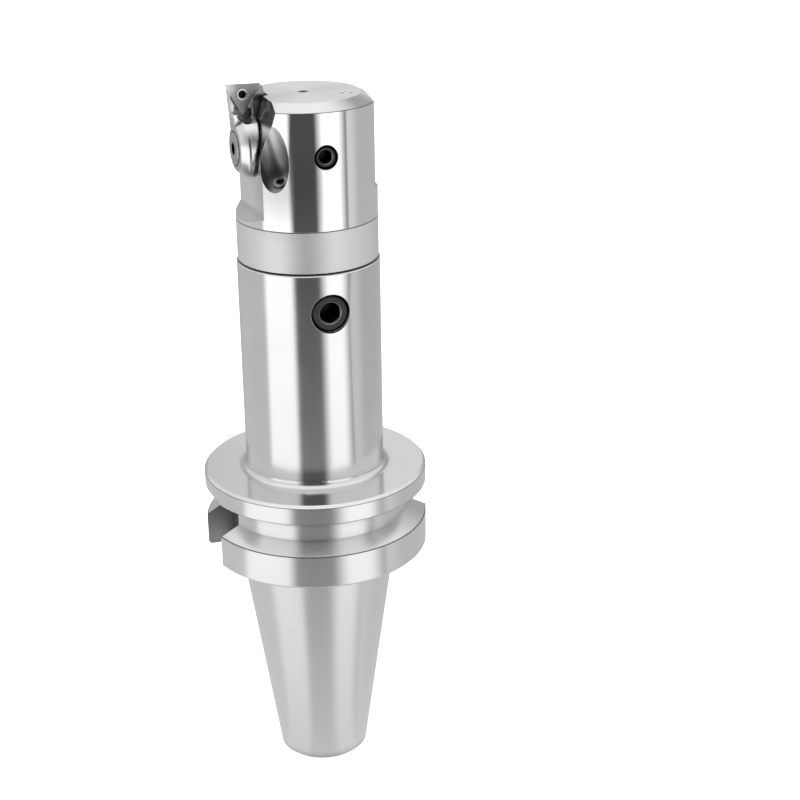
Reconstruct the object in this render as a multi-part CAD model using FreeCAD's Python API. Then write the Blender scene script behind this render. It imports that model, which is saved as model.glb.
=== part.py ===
import FreeCAD, Part
import math
import os

V = FreeCAD.Vector

# A fine boring head, clamped in a 7/24 taper arbor of size 40.
# Millimetres. +Z runs up the tool axis to the cutting end, and Z = 0 is the small end of the taper.
# The insert side is -X, the dial side is +X, and the clamp and lock screws face -Y.

# Driving dimensions: taper arbor
gauge_diameter = 44.45          # taper at the gauge line
taper_length = 65.4             # small end to gauge line
taper_ratio = 7 / 24            # diameter lost per unit of length
small_end_chamfer = 1.0
gauge_gap = 2.0                 # gauge line to the lower face of the flange
flange_diameter = 63.0
flange_thickness = 25.0
flange_edge_bevel = 0.8
groove_centre_up = 16.6         # gauge line to the middle of the V-groove
groove_bottom_diameter = 53.0
groove_bottom_width = 4.2
groove_angle = 60.0             # included
drive_slot_width = 16.1
drive_slot_bottom = 22.6        # tool axis to the floor of a drive slot
drive_slot_roof = 1.0           # height of a slot above the V-groove
arbor_diameter = 39.0
arbor_neck_length = 61.0        # flange face to connection face
arbor_root_fillet = 2.0
arbor_top_chamfer = 0.5
pull_stud_core_diameter = 14.0
pull_stud_thread_depth = 30.0
pull_stud_pilot_diameter = 17.0
pull_stud_pilot_depth = 6.0
pull_stud_mouth_chamfer = 1.0
coolant_bore_diameter = 7.0
socket_mouth_chamfer = 0.6
socket_relief = 2.0             # room below the end of the head's pin

# Driving dimensions: connection between arbor and head
pin_diameter = 22.0
pin_length = 24.5
pin_end_chamfer = 1.6
pin_end_cone = 2.4              # length of the slimmed lead-in
pin_end_cone_drop = 0.25        # its drop in radius
pin_clearance = 0.01            # radial
pin_side_hole_diameter = 9.2
pin_side_hole_depth = 7.0
pin_side_hole_drop = 7.4        # connection face to the hole's centre
clamp_screw_diameter = 10.0
clamp_screw_drop = 11.0         # connection face to the screw's centre
clamp_screw_sink = 0.7          # screw face below the arbor's surface
clamp_socket_width = 5.0        # across flats
clamp_socket_depth = 5.0
clamp_socket_cone_diameter = 6.2
clamp_cone_end_diameter = 3.0
clamp_cone_depth = 4.4          # how far the cone reaches into the pin
clamp_mouth_diameter = 10.8
clamp_mouth_depth = 1.4         # of the shallow countersink, from the crown of the arbor
dowel_diameter = 4.0
dowel_length = 8.0
dowel_stand = 3.2               # height above the connection face
dowel_circle_radius = 15.2
dowel_hole_end_gap = 0.4

# Driving dimensions: head body
head_diameter = 38.4
head_length = 44.5
head_top_flat_radius = 15.2
head_chamfer_height = 1.9
band_height = 11.4              # satin ring above the connection face
band_edge_groove = 0.2          # line turned at the band's upper edge
joint_groove_height = 0.3       # recess at the head's foot, along the joint
joint_groove_depth = 0.5
centre_hole_diameter = 2.6
centre_hole_depth = 3.0
slide_axis_drop = 13.5          # head top to the slide's axis
insert_flat_distance = 15.2     # tool axis to the flat on the insert side
insert_flat_length = 30.3
insert_flat_ledge_drop = 2.1
dial_flat_distance = 16.0       # tool axis to the flat on the dial side
dial_flat_length = 24.6
dial_flat_ledge_drop = 1.3
relief_top_distance = 11.4      # tool axis to the sloped relief, at the head's top
relief_length = 14.7            # height over which the relief runs out to the flat
horn_pocket_distance = 9.7
horn_pocket_front = 1.3
horn_pocket_back = 8.3
horn_pocket_depth = 7.4
horn_pocket_corner = 0.8
scoop_diameter = 8.6
scoop_azimuth = 42.0            # from -Y towards -X, degrees
scoop_elevation = 60.0          # above the horizontal, degrees
scoop_drop = 14.0               # head top to where its axis leaves the body
scoop_seat_depth = 8.0          # along its axis
nozzle_diameter = 4.0
nozzle_length = 4.5
nozzle_stand = 0.6
nozzle_socket_width = 2.0
nozzle_socket_depth = 1.6
nozzle_jet_diameter = 1.2
duct_diameter = 2.6
head_coolant_bore_diameter = 6.0
head_coolant_bore_top = 9.0     # above the connection face
plug_ball_diameter = 3.0
plug_ball_stand = 0.3           # ball's crown above the head's top
plug_hole_depth = 3.2
plug_hole_clearance = 0.01      # radial
plug_hole_chamfer = 0.25
plug_ball_distance = 10.3       # tool axis to the ball, on the dial side
plug_ball_offset = 5.2          # and from the slide's plane, towards the lock screw

# Driving dimensions: slide and feed
slide_diameter = 13.0
slide_clearance = 0.02          # radial
slide_rear_gap = 0.8            # slide's rear end to the thrust washer, at rest
slide_flat_depth = 0.8          # flat for the lock pad
slide_tongue_width = 4.0
slide_tongue_height = 0.9
slide_tongue_clearance = 0.03
key_slot_width = 3.1
key_slot_depth = 1.3
key_slot_reach = 5.0            # slot beyond the key, towards the insert
feed_thread_diameter = 7.0
feed_thread_clearance = 0.04    # radial
feed_thread_end = 8.5           # tool axis to the screw's inner end, on the insert side
feed_bore_clearance = 0.5       # radial, in the hollow slide
feed_nut_diameter = 9.6
feed_nut_length = 9.0
slide_front_wall = 5.0
feed_collar_diameter = 16.0
feed_collar_length = 2.0
feed_journal_diameter = 6.8
journal_clearance = 0.05        # radial, in the retaining nut and the washers
feed_end_stand = 0.5            # screw's end above the dial's crown
feed_socket_width = 3.5
feed_socket_depth = 4.0
feed_socket_cone_diameter = 4.6
thrust_bore_diameter = 18.0
thrust_washer_diameter = 17.4
thrust_washer_thickness = 0.6
wave_washer_thickness = 0.8
retaining_nut_length = 2.0
nut_spanner_hole_diameter = 1.6
nut_spanner_circle_radius = 6.8
dial_diameter = 20.8
dial_clearance = 0.1            # radial
dial_pocket_depth = 4.2
dial_rim_sink = 0.1             # dial's rim below the flat
dial_back_gap = 0.3
dial_crown_rise = 2.1           # cone height from the rim to the crown
dial_rim_width = 0.3
seal_thickness = 1.2
dial_seal_gap = 0.05            # radial, to the pocket's wall
slide_seal_distance = 8.0       # tool axis to the slide seal
slide_seal_gap = 0.05           # radial, to the slide

# Driving dimensions: lock and key screws
lock_screw_diameter = 6.0
lock_screw_length = 7.0
lock_screw_sink = 0.6
lock_socket_width = 3.0
lock_socket_depth = 3.0
lock_socket_cone_diameter = 3.9
lock_mouth_chamfer = 0.35
pad_diameter = 5.0
pad_gap = 0.35                  # to the slide, unlocked
pad_screw_gap = 0.05
key_screw_diameter = 5.0
key_screw_sink = 0.6
key_screw_socket_width = 2.5
key_screw_socket_depth = 2.5
key_dog_diameter = 3.0
key_dog_end_gap = 0.1
key_dog_shoulder_gap = 0.3
key_distance = 2.0              # tool axis to the key screw, on the insert side
thread_gap = 0.02               # radial, between a screw and its hole
screw_edge_chamfer = 0.5

# Driving dimensions: insert holder, insert and their screws
bore_diameter_at_rest = 42.0    # bore that the insert's tip cuts in this position
holder_flat_gap = 0.55          # holder's back to the flat, at rest
holder_boss_diameter = 15.6
holder_thickness = 3.4
holder_shoulder = 2.1           # cone between the boss's rim and its face
holder_rim_fillet = 1.2
holder_face_fillet = 0.5
neck_gap = 0.5                  # neck to the head's relief, at rest
neck_front_gap = 0.4            # neck to the side of the horn's pocket
neck_slide_gap = 0.15           # radial, neck to the slide
holder_screw_gap = 0.1          # radial, around the screw's head
holder_bore_relief = 0.6        # holder inside the circle of the insert's tip
horn_flank_lean = 4.5           # horn's flank, drawn in below the insert's tip, degrees
horn_front = 0.4
horn_back = 7.0
horn_top_gap = 1.2              # horn's top below the insert's tip
horn_inner_distance = 10.6
horn_step_gap = 0.6             # horn's underside above its pocket's floor
horn_corner_chamfer = 2.0
gullet_radius = 2.0
gullet_distance = 16.1
gullet_drop = 4.6               # head top to the gullet's centre
gullet_depth = 3.4              # behind the tool's centre plane
holder_screw_diameter = 5.0
holder_screw_head_diameter = 8.8
holder_screw_length = 7.0
holder_screw_socket_width = 3.0
holder_screw_socket_depth = 1.9
holder_screw_stand = 0.4        # screw's face above the boss's face
holder_screw_rim = 1.0          # height of its head's straight rim
holder_screw_edge_chamfer = 0.3
insert_circle_diameter = 5.56   # inscribed circle
insert_thickness = 2.38
insert_clearance_angle = 11.0
insert_nose_radius = 0.2
insert_hole_diameter = 2.5
insert_hole_mouth_diameter = 3.4
insert_rise = 3.45              # tip above the head's top
insert_tilt = 2.0               # top edge falls towards the axis, degrees
insert_pocket_gap = 0.02
insert_screw_diameter = 2.0
insert_screw_head_diameter = 3.2
insert_screw_reach = 3.2        # behind the insert
insert_screw_lobe_radius = 0.36
insert_screw_lobe_circle = 0.62
insert_screw_socket_depth = 1.0

# Levels along the tool axis
gauge_z = taper_length
flange_bottom_z = gauge_z + gauge_gap
flange_top_z = flange_bottom_z + flange_thickness
groove_z = gauge_z + groove_centre_up
face_z = flange_top_z + arbor_neck_length
band_top_z = face_z + band_height
head_top_z = face_z + head_length
slide_z = head_top_z - slide_axis_drop
insert_tip_z = head_top_z + insert_rise
clamp_z = face_z - clamp_screw_drop
pin_end_z = face_z - pin_length

# Radii and distances that follow from them
small_end_radius = (gauge_diameter - taper_length * taper_ratio) / 2
gauge_radius = gauge_diameter / 2
flange_radius = flange_diameter / 2
arbor_radius = arbor_diameter / 2
head_radius = head_diameter / 2
pin_radius = pin_diameter / 2
socket_radius = pin_radius + pin_clearance
groove_bottom_radius = groove_bottom_diameter / 2
groove_flank_rise = (flange_radius - groove_bottom_radius) * math.tan(math.radians(groove_angle / 2))
groove_half_opening = groove_bottom_width / 2 + groove_flank_rise
slide_radius = slide_diameter / 2
slide_bore_radius = slide_radius + slide_clearance
tip_radius = bore_diameter_at_rest / 2

# Stations along the slide's axis, as X values
dial_pocket_x = dial_flat_distance - dial_pocket_depth
retaining_nut_x = dial_pocket_x - retaining_nut_length
wave_washer_x = retaining_nut_x - wave_washer_thickness
feed_collar_x = wave_washer_x - feed_collar_length
thrust_shoulder_x = feed_collar_x - thrust_washer_thickness
slide_rear_x = thrust_shoulder_x - slide_rear_gap
holder_back_x = -insert_flat_distance - holder_flat_gap
holder_face_x = holder_back_x - holder_thickness
dial_back_x = dial_pocket_x + dial_back_gap
dial_rim_x = dial_flat_distance - dial_rim_sink
dial_crown_x = dial_rim_x + dial_crown_rise
feed_end_x = dial_crown_x + feed_end_stand
slide_flat_y = -(slide_radius - slide_flat_depth)
key_slot_y = slide_radius - key_slot_depth
lock_face_y = -(head_radius - lock_screw_sink)
lock_end_y = lock_face_y + lock_screw_length
pad_back_y = lock_end_y + pad_screw_gap
pad_face_y = slide_flat_y - pad_gap
clamp_face_y = -(arbor_radius - clamp_screw_sink)
clamp_tip_y = -(pin_radius - clamp_cone_depth)

# Directions, a length that passes clear through the whole head, and when two places are one
ALONG_X = V(1, 0, 0)
ALONG_Y = V(0, 1, 0)
ALONG_Z = V(0, 0, 1)
THROUGH = flange_diameter
TOUCH = 1e-6


def bar_x(radius, x_from, x_to, y=0.0, z=slide_z):
    return Part.makeCylinder(radius, x_to - x_from, V(x_from, y, z), ALONG_X)


def bar_y(radius, y_from, y_to, x=0.0, z=slide_z):
    return Part.makeCylinder(radius, y_to - y_from, V(x, y_from, z), ALONG_Y)


def bar_z(radius, z_from, z_to, x=0.0, y=0.0):
    return Part.makeCylinder(radius, z_to - z_from, V(x, y, z_from), ALONG_Z)


def block(x_from, x_to, y_from, y_to, z_from, z_to):
    return Part.makeBox(x_to - x_from, y_to - y_from, z_to - z_from, V(x_from, y_from, z_from))


def turned_z(outline):
    """Solid turned about the tool axis from (radius, z) points."""
    points = [V(radius, 0, z) for radius, z in outline]
    face = Part.Face(Part.makePolygon(points + points[:1]))
    return face.revolve(V(0, 0, 0), ALONG_Z, 360)


def turned_x(outline, z=slide_z):
    """Solid turned about a line along X at height z from (x, radius) points."""
    points = [V(x, radius, z) for x, radius in outline]
    face = Part.Face(Part.makePolygon(points + points[:1]))
    return face.revolve(V(0, 0, z), ALONG_X, 360)


def turned_y(outline, x=0.0, z=slide_z):
    """Solid turned about a line along Y through (x, z) from (y, radius) points."""
    points = [V(x + radius, y, z) for y, radius in outline]
    face = Part.Face(Part.makePolygon(points + points[:1]))
    return face.revolve(V(x, 0, z), ALONG_Y, 360)


def prism_y(outline, y_from, y_to):
    """Prism along Y with an outline of (x, z) points."""
    points = [V(x, y_from, z) for x, z in outline]
    return Part.Face(Part.makePolygon(points + points[:1])).extrude(V(0, y_to - y_from, 0))


def hex_socket(width, depth, mouth, inwards, corner=ALONG_Z, cone=0.0):
    """Hexagonal hole of a width across flats, from its mouth along a unit direction.

    A cone wider than the flats breaks the corners at the mouth.
    """
    across = inwards.cross(corner)
    radius = width / math.sqrt(3)
    points = []
    for step in range(6):
        angle = math.radians(60 * step)
        points.append(mouth + corner * (radius * math.cos(angle)) + across * (radius * math.sin(angle)))
    hole = Part.Face(Part.makePolygon(points + points[:1])).extrude(inwards * depth)
    if cone > width:
        hole = hole.fuse(Part.makeCone(cone / 2, width / 2, (cone - width) / 2, mouth, inwards))
    return hole


def ring(major_radius, centre, axis):
    """O-ring with a round section of the common seal thickness."""
    return Part.makeTorus(major_radius, seal_thickness / 2, centre, axis)


def radial(azimuth, elevation):
    """Unit vector outwards and up, its azimuth counted from -Y towards -X."""
    flat = math.cos(math.radians(elevation))
    turn = math.radians(azimuth)
    return V(-math.sin(turn) * flat, -math.cos(turn) * flat, math.sin(math.radians(elevation)))


def make_taper_arbor():
    chamfer = small_end_chamfer
    bevel = flange_edge_bevel
    slope = taper_ratio / 2
    body = turned_z([
        (0, 0),
        (small_end_radius - chamfer, 0),
        (small_end_radius + chamfer * slope, chamfer),
        (gauge_radius, gauge_z),
        (gauge_radius, flange_bottom_z),
        (flange_radius - bevel, flange_bottom_z),
        (flange_radius, flange_bottom_z + bevel),
        (flange_radius, groove_z - groove_half_opening),
        (groove_bottom_radius, groove_z - groove_bottom_width / 2),
        (groove_bottom_radius, groove_z + groove_bottom_width / 2),
        (flange_radius, groove_z + groove_half_opening),
        (flange_radius, flange_top_z - bevel),
        (flange_radius - bevel, flange_top_z),
        (arbor_radius, flange_top_z),
        (arbor_radius, face_z - arbor_top_chamfer),
        (arbor_radius - arbor_top_chamfer, face_z),
        (0, face_z),
    ])
    root = [edge for edge in body.Edges
            if abs(edge.BoundBox.ZMin - flange_top_z) < TOUCH
            and abs(edge.BoundBox.ZMax - flange_top_z) < TOUCH
            and abs(edge.BoundBox.XMax - arbor_radius) < TOUCH]
    body = body.makeFillet(arbor_root_fillet, root)
    for side in (-1, 1):
        near, far = sorted((side * drive_slot_bottom, side * THROUGH))
        body = body.cut(block(near, far, -drive_slot_width / 2, drive_slot_width / 2,
                              0, groove_z + groove_half_opening + drive_slot_roof))
    core = pull_stud_core_diameter / 2
    pilot = pull_stud_pilot_diameter / 2
    mouth = pull_stud_mouth_chamfer
    body = body.cut(turned_z([
        (0, 0),
        (pilot + mouth, 0),
        (pilot, mouth),
        (pilot, pull_stud_pilot_depth),
        (core, pull_stud_pilot_depth),
        (core, pull_stud_thread_depth),
        (0, pull_stud_thread_depth + core / 2),
    ]))
    body = body.cut(bar_z(coolant_bore_diameter / 2, 0, face_z))
    socket_floor_z = pin_end_z - socket_relief
    body = body.cut(turned_z([
        (0, socket_floor_z),
        (socket_radius, socket_floor_z),
        (socket_radius, face_z - socket_mouth_chamfer),
        (socket_radius + socket_mouth_chamfer, face_z),
        (0, face_z),
    ]))
    cone_base = clamp_screw_diameter / 2 + thread_gap
    mouth_radius = clamp_mouth_diameter / 2
    body = body.cut(bar_y(cone_base, -arbor_radius, 0, z=clamp_z))
    body = body.cut(turned_y([
        (-THROUGH / 2, 0),
        (-THROUGH / 2, mouth_radius),
        (-arbor_radius + clamp_mouth_depth - (mouth_radius - cone_base), mouth_radius),
        (-arbor_radius + clamp_mouth_depth, cone_base),
        (-arbor_radius + clamp_mouth_depth, 0),
    ], z=clamp_z))
    hole_radius = dowel_diameter / 2
    dowel_bottom_z = face_z + dowel_stand - dowel_length
    return body.cut(bar_z(hole_radius, dowel_bottom_z, face_z, y=dowel_circle_radius))


def make_clamp_screw():
    radius = clamp_screw_diameter / 2
    tip = clamp_cone_end_diameter / 2
    cone = radius - tip
    edge = screw_edge_chamfer
    screw = turned_y([
        (clamp_face_y, 0),
        (clamp_face_y, radius - edge),
        (clamp_face_y + edge, radius),
        (clamp_tip_y - cone, radius),
        (clamp_tip_y, tip),
        (clamp_tip_y, 0),
    ], z=clamp_z)
    return screw.cut(hex_socket(clamp_socket_width, clamp_socket_depth,
                                V(0, clamp_face_y, clamp_z), ALONG_Y, cone=clamp_socket_cone_diameter))


def make_drive_dowel():
    top_z = face_z + dowel_stand
    radius = dowel_diameter / 2
    edge = screw_edge_chamfer
    dowel = turned_z([
        (0, top_z - dowel_length),
        (radius - edge, top_z - dowel_length),
        (radius, top_z - dowel_length + edge),
        (radius, top_z - edge),
        (radius - edge, top_z),
        (0, top_z),
    ])
    dowel.translate(V(0, dowel_circle_radius, 0))
    return dowel


def ledge_cut(distance, length, ledge_drop, side):
    """Flat on one side of the head, with a sloped ledge out to the head's cylinder."""
    floor_z = head_top_z - length
    outline = [
        (side * distance, head_top_z + THROUGH),
        (side * distance, floor_z),
        (side * head_radius, floor_z - ledge_drop),
        (side * THROUGH, floor_z - ledge_drop),
        (side * THROUGH, head_top_z + THROUGH),
    ]
    return prism_y(outline, -THROUGH, THROUGH)


def scoop_line():
    """Where the scoop's axis leaves the head, and its outward direction."""
    outwards = radial(scoop_azimuth, scoop_elevation)
    flat = radial(scoop_azimuth, 0)
    return flat * head_radius + V(0, 0, head_top_z - scoop_drop), outwards


def scoop_bar(radius, depth_from, depth_to):
    """Cylinder on the scoop's axis between two depths below the head's surface."""
    start, outwards = scoop_line()
    return Part.makeCylinder(radius, depth_to - depth_from, start - outwards * depth_to, outwards)


def seal_groove():
    """Groove for the slide's seal, around the slide bore."""
    half = seal_thickness / 2 + slide_seal_gap
    depth = slide_radius + slide_seal_gap + seal_thickness
    return bar_x(depth, -slide_seal_distance - half, -slide_seal_distance + half)


def make_head_body():
    bevel = head_radius - head_top_flat_radius
    groove = band_edge_groove
    body = turned_z([
        (0, pin_end_z),
        (pin_radius - pin_end_cone_drop - pin_end_chamfer, pin_end_z),
        (pin_radius - pin_end_cone_drop, pin_end_z + pin_end_chamfer),
        (pin_radius - pin_end_cone_drop, pin_end_z + pin_end_cone),
        (pin_radius, pin_end_z + pin_end_cone + pin_end_cone_drop),
        (pin_radius, face_z),
        (head_radius - joint_groove_depth, face_z),
        (head_radius - joint_groove_depth, face_z + joint_groove_height),
        (head_radius, face_z + joint_groove_height),
        (head_radius, band_top_z - groove),
        (head_radius - groove, band_top_z),
        (head_radius, band_top_z + groove),
        (head_radius, head_top_z - head_chamfer_height),
        (head_radius - bevel, head_top_z),
        (0, head_top_z),
    ])
    body = body.cut(ledge_cut(insert_flat_distance, insert_flat_length, insert_flat_ledge_drop, -1))
    body = body.cut(ledge_cut(dial_flat_distance, dial_flat_length, dial_flat_ledge_drop, 1))
    body = body.cut(prism_y([
        (-relief_top_distance, head_top_z),
        (-insert_flat_distance, head_top_z - relief_length),
        (-THROUGH, head_top_z - relief_length),
        (-THROUGH, head_top_z),
    ], -THROUGH, -horn_pocket_front))
    pocket = block(-THROUGH, -horn_pocket_distance, -horn_pocket_front, horn_pocket_back,
                   head_top_z - horn_pocket_depth, head_top_z + THROUGH)
    inner = [edge for edge in pocket.Edges
             if abs(edge.BoundBox.XMax + horn_pocket_distance) < TOUCH
             and edge.BoundBox.ZMax - edge.BoundBox.ZMin > horn_pocket_depth]
    body = body.cut(pocket.makeFillet(horn_pocket_corner, inner))
    body = body.cut(Part.makeCone(0, centre_hole_diameter / 2, centre_hole_depth,
                                  V(0, 0, head_top_z - centre_hole_depth), ALONG_Z))
    plug_radius = plug_ball_diameter / 2 + plug_hole_clearance
    plug_hole = turned_z([
        (0, head_top_z - plug_hole_depth),
        (plug_radius, head_top_z - plug_hole_depth),
        (plug_radius, head_top_z - plug_hole_chamfer),
        (plug_radius + plug_hole_chamfer, head_top_z),
        (0, head_top_z),
    ])
    plug_hole.translate(V(plug_ball_distance, -plug_ball_offset, 0))
    body = body.cut(plug_hole)

    # Slide bore, thrust bore and dial pocket, one behind the other on the slide's axis
    body = body.cut(bar_x(slide_bore_radius, -THROUGH, thrust_shoulder_x))
    body = body.cut(bar_x(thrust_bore_diameter / 2, thrust_shoulder_x, THROUGH))
    body = body.cut(bar_x(dial_diameter / 2 + dial_clearance, dial_pocket_x, THROUGH))
    body = body.cut(seal_groove())

    # Lock and key screw holes
    lock_radius = lock_screw_diameter / 2 + thread_gap
    body = body.cut(bar_y(lock_radius, -THROUGH, 0))
    body = body.cut(turned_y([
        (-THROUGH, 0),
        (-THROUGH, lock_radius + lock_mouth_chamfer),
        (-head_radius, lock_radius + lock_mouth_chamfer),
        (-head_radius + lock_mouth_chamfer, lock_radius),
        (-head_radius + lock_mouth_chamfer, 0),
    ]))
    body = body.cut(bar_y(key_screw_diameter / 2 + thread_gap, 0, THROUGH, x=-key_distance))

    # Coolant scoop, nozzle hole and duct, and the bore up through the pin
    body = body.cut(scoop_bar(scoop_diameter / 2, -THROUGH, scoop_seat_depth))
    nozzle_end = scoop_seat_depth - nozzle_stand + nozzle_length
    body = body.cut(scoop_bar(nozzle_diameter / 2 + thread_gap, 0, nozzle_end))
    duct_end = head_radius / math.cos(math.radians(scoop_elevation))
    body = body.cut(scoop_bar(duct_diameter / 2, 0, duct_end))
    body = body.cut(bar_z(head_coolant_bore_diameter / 2, pin_end_z, face_z + head_coolant_bore_top))

    # Seat for the clamp screw's cone, side hole of the pin, and dowel hole
    cone = (clamp_screw_diameter - clamp_cone_end_diameter) / 2
    tip = clamp_cone_end_diameter / 2
    body = body.cut(turned_y([
        (clamp_tip_y, 0),
        (clamp_tip_y, tip),
        (clamp_tip_y - cone, tip + cone),
        (-THROUGH / 2, tip + cone),
        (-THROUGH / 2, 0),
    ], z=clamp_z).common(bar_z(socket_radius, pin_end_z, face_z)))
    body = body.cut(bar_x(pin_side_hole_diameter / 2, pin_radius - pin_side_hole_depth, socket_radius,
                          z=face_z - pin_side_hole_drop))
    return body.cut(bar_z(dowel_diameter / 2 + pin_clearance, face_z,
                          face_z + dowel_stand + dowel_hole_end_gap, y=dowel_circle_radius))


def make_slide_bar():
    bar = bar_x(slide_radius, holder_back_x, slide_rear_x)
    tongue = block(holder_back_x - slide_tongue_height, holder_back_x,
                   -slide_tongue_width / 2, slide_tongue_width / 2,
                   slide_z - slide_radius, slide_z + slide_radius)
    bar = bar.fuse(tongue.common(bar_x(slide_radius, holder_face_x, holder_back_x)))
    bar = bar.cut(bar_x(feed_nut_diameter / 2, slide_rear_x - feed_nut_length, slide_rear_x))
    bar = bar.cut(bar_x(feed_thread_diameter / 2 + feed_bore_clearance,
                        holder_back_x + slide_front_wall, slide_rear_x))
    bar = bar.cut(bar_x(holder_screw_diameter / 2, holder_face_x, slide_rear_x))
    bar = bar.cut(block(holder_back_x + slide_front_wall, THROUGH, -THROUGH, slide_flat_y,
                        slide_z - THROUGH, slide_z + THROUGH))
    slot_front_x = -key_distance - key_slot_reach
    return bar.cut(block(slot_front_x, slide_rear_x, key_slot_y, THROUGH,
                         slide_z - key_slot_width / 2, slide_z + key_slot_width / 2))


def make_feed_nut():
    nut = bar_x(feed_nut_diameter / 2, slide_rear_x - feed_nut_length, slide_rear_x)
    return nut.cut(bar_x(feed_thread_diameter / 2 + feed_thread_clearance, -THROUGH, THROUGH))


def make_feed_screw():
    thread = feed_thread_diameter / 2
    journal = feed_journal_diameter / 2
    collar = feed_collar_diameter / 2
    edge = screw_edge_chamfer
    screw = turned_x([
        (-feed_thread_end, 0),
        (-feed_thread_end, thread - edge),
        (-feed_thread_end + edge, thread),
        (feed_collar_x, thread),
        (feed_collar_x, collar),
        (wave_washer_x, collar),
        (wave_washer_x, journal),
        (feed_end_x - edge / 2, journal),
        (feed_end_x, journal - edge / 2),
        (feed_end_x, 0),
    ])
    return screw.cut(hex_socket(feed_socket_width, feed_socket_depth, V(feed_end_x, 0, slide_z),
                                V(-1, 0, 0), ALONG_Y, feed_socket_cone_diameter))


def washer(radius, x_from, thickness, bore_radius):
    return bar_x(radius, x_from, x_from + thickness).cut(bar_x(bore_radius, -THROUGH, THROUGH))


def make_thrust_washer():
    return washer(thrust_washer_diameter / 2, thrust_shoulder_x, thrust_washer_thickness,
                  feed_thread_diameter / 2 + feed_bore_clearance)


def make_wave_washer():
    return washer(thrust_washer_diameter / 2, wave_washer_x, wave_washer_thickness,
                  feed_journal_diameter / 2 + feed_bore_clearance)


def make_retaining_nut():
    nut = washer(thrust_bore_diameter / 2, retaining_nut_x, retaining_nut_length,
                 feed_journal_diameter / 2 + journal_clearance)
    for side in (-1, 1):
        nut = nut.cut(bar_x(nut_spanner_hole_diameter / 2, -THROUGH, THROUGH,
                            y=side * nut_spanner_circle_radius))
    return nut


def make_dial():
    rim = dial_diameter / 2
    journal = feed_journal_diameter / 2
    groove_x = (dial_back_x + dial_rim_x) / 2
    half = seal_thickness / 2
    dial = turned_x([
        (dial_back_x, journal),
        (dial_back_x, rim),
        (dial_rim_x, rim),
        (dial_rim_x, rim - dial_rim_width),
        (dial_crown_x, journal),
    ])
    seal_inner = rim + dial_clearance - dial_seal_gap - seal_thickness
    groove = bar_x(rim + dial_clearance, groove_x - half, groove_x + half)
    return dial.cut(groove.cut(bar_x(seal_inner, -THROUGH, THROUGH)))


def make_dial_seal():
    groove_x = (dial_back_x + dial_rim_x) / 2
    outer = dial_diameter / 2 + dial_clearance - dial_seal_gap
    return ring(outer - seal_thickness / 2, V(groove_x, 0, slide_z), ALONG_X)


def make_slide_seal():
    inner = slide_radius + slide_seal_gap
    return ring(inner + seal_thickness / 2, V(-slide_seal_distance, 0, slide_z), ALONG_X)


def make_lock_screw():
    radius = lock_screw_diameter / 2
    edge = screw_edge_chamfer
    screw = turned_y([
        (lock_face_y, 0),
        (lock_face_y, radius - edge),
        (lock_face_y + edge, radius),
        (lock_end_y - edge, radius),
        (lock_end_y, radius - edge),
        (lock_end_y, 0),
    ])
    return screw.cut(hex_socket(lock_socket_width, lock_socket_depth,
                                V(0, lock_face_y, slide_z), ALONG_Y, cone=lock_socket_cone_diameter))


def make_pressure_pad():
    return bar_y(pad_diameter / 2, pad_back_y, pad_face_y)


def make_key_screw():
    radius = key_screw_diameter / 2
    dog = key_dog_diameter / 2
    face_y = head_radius - key_screw_sink
    shoulder_y = slide_radius + key_dog_shoulder_gap
    tip_y = key_slot_y + key_dog_end_gap
    edge = screw_edge_chamfer
    screw = turned_y([
        (tip_y, 0),
        (tip_y, dog),
        (shoulder_y, dog),
        (shoulder_y, radius),
        (face_y - edge, radius),
        (face_y, radius - edge),
        (face_y, 0),
    ], x=-key_distance)
    return screw.cut(hex_socket(key_screw_socket_width, key_screw_socket_depth,
                                V(-key_distance, face_y, slide_z), V(0, -1, 0)))


def insert_centre():
    """Centre of the insert's triangle in (x, z), with the rounded nose on the circle of the tip."""
    nose_shift = insert_nose_radius * (2 * math.cos(math.radians(30)) - 1)
    tip_direction = math.radians(150 - insert_tilt)
    return (-(tip_radius + nose_shift) - insert_circle_diameter * math.cos(tip_direction),
            insert_tip_z - insert_circle_diameter * math.sin(tip_direction))


def insert_corners(inset):
    """Tip, lower and inner corner of the insert in (x, z), moved in from every side by inset."""
    x, z = insert_centre()
    reach = insert_circle_diameter - 2 * inset
    corners = []
    for step in range(3):
        angle = math.radians(150 - insert_tilt + 120 * step)
        corners.append((x + reach * math.cos(angle), z + reach * math.sin(angle)))
    return corners


def triangle_loft(inset_front, inset_back, y_front, y_back):
    wires = []
    for inset, y in ((inset_front, y_front), (inset_back, y_back)):
        points = [V(x, y, z) for x, z in insert_corners(inset)]
        wires.append(Part.makePolygon(points + points[:1]))
    return Part.makeLoft(wires, True, True)


def make_cutting_insert():
    lean = insert_thickness * math.tan(math.radians(insert_clearance_angle))
    body = triangle_loft(0, lean, 0, insert_thickness)
    sides = [edge for edge in body.Edges if edge.BoundBox.YMax - edge.BoundBox.YMin > insert_thickness / 2]
    body = body.makeFillet(insert_nose_radius, sides)
    x, z = insert_centre()
    hole = insert_hole_diameter / 2
    mouth = insert_hole_mouth_diameter / 2
    return body.cut(turned_y([
        (0, 0),
        (0, mouth),
        (mouth - hole, hole),
        (insert_thickness, hole),
        (insert_thickness, 0),
    ], x=x, z=z))


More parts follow.
